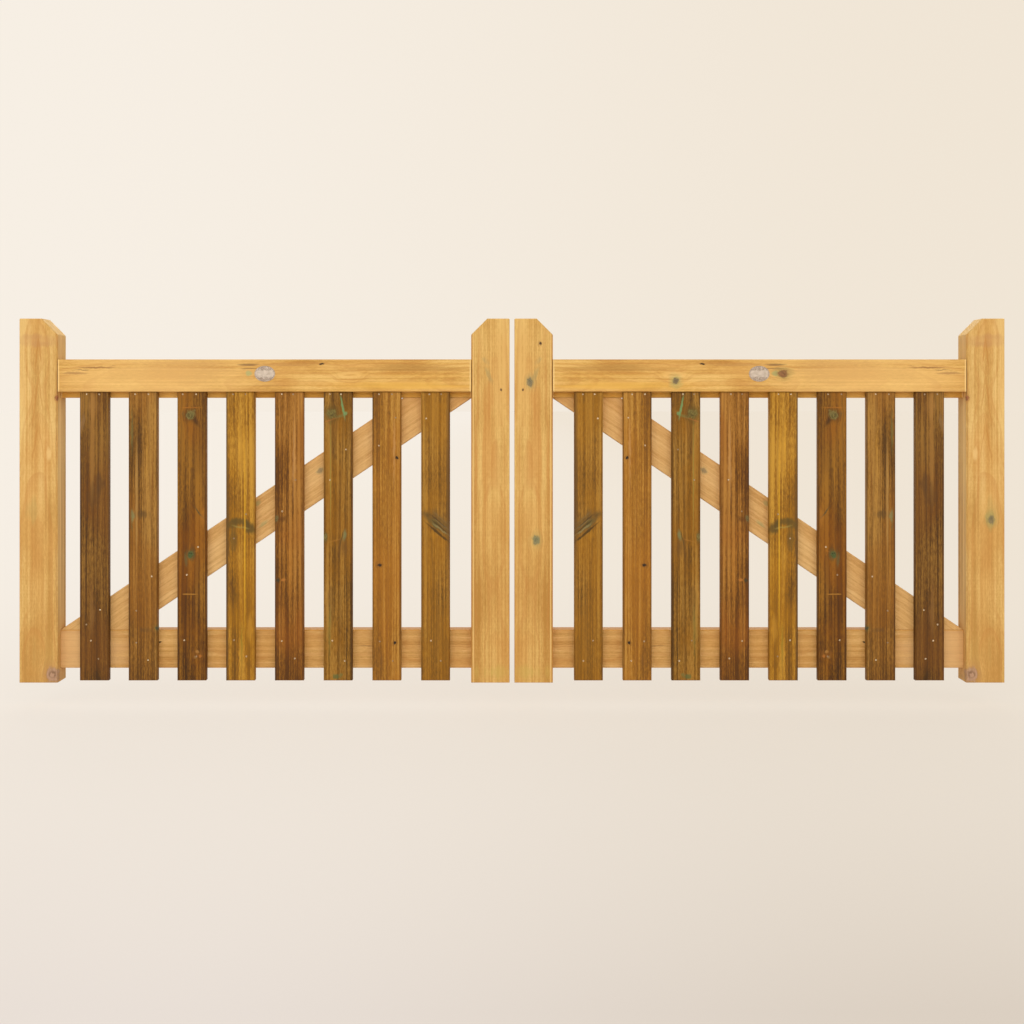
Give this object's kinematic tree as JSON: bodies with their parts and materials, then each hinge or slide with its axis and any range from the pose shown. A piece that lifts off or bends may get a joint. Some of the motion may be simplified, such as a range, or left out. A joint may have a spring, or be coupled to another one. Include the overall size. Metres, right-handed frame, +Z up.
{
  "type": "wooden driveway gate",
  "caption": "Pair of open-pale timber driveway gate leaves with braced, rebated frames, hung on rear hook-and-band hinges.",
  "frame": {"origin": "centre of the back face of the lower left hook plate, where it bears on the gatepost", "axes": "+X across the opening from the left gatepost to the right one, +Y towards the rear, where the leaves swing, +Z up"},
  "size_m": [2.466, 0.1084, 0.9],
  "materials": {
    "frame_timber": "planed and treated, light honey",
    "pale_timber": "pressure treated, mid brown",
    "wedge_timber": "sawn end grain, pale",
    "hinge_steel": "hot-dip galvanised"
  },
  "bodies": {
    "hooks": {"left_upper_hook": "hinge_steel", "left_lower_hook": "hinge_steel", "right_upper_hook": "hinge_steel", "right_lower_hook": "hinge_steel"},
    "left_leaf": {"left_hinge_stile": "frame_timber", "left_meeting_stile": "frame_timber", "left_top_rail": "frame_timber", "left_bottom_rail": "frame_timber", "left_brace": "frame_timber", "left_tenon_wedges": "wedge_timber", "left_pale_1": "pale_timber", "left_pale_2": "pale_timber", "left_pale_3": "pale_timber", "left_pale_4": "pale_timber", "left_pale_5": "pale_timber", "left_pale_6": "pale_timber", "left_pale_7": "pale_timber", "left_pale_8": "pale_timber", "left_upper_band": "hinge_steel", "left_lower_band": "hinge_steel"},
    "right_leaf": {"right_hinge_stile": "frame_timber", "right_meeting_stile": "frame_timber", "right_top_rail": "frame_timber", "right_bottom_rail": "frame_timber", "right_brace": "frame_timber", "right_tenon_wedges": "wedge_timber", "right_pale_1": "pale_timber", "right_pale_2": "pale_timber", "right_pale_3": "pale_timber", "right_pale_4": "pale_timber", "right_pale_5": "pale_timber", "right_pale_6": "pale_timber", "right_pale_7": "pale_timber", "right_pale_8": "pale_timber", "right_upper_band": "hinge_steel", "right_lower_band": "hinge_steel"}
  },
  "joints": [
    {"name": "left_leaf_swing", "type": "hinge", "parent": "hooks", "child": "left_leaf", "pos_m": [0.028, 0, 0], "axis": [0, 0, 1], "range_deg": [0, 90]},
    {"name": "right_leaf_swing", "type": "hinge", "parent": "hooks", "child": "right_leaf", "pos_m": [2.438, 0, 0], "axis": [0, 0, -1], "range_deg": [0, 90]}
  ]
}
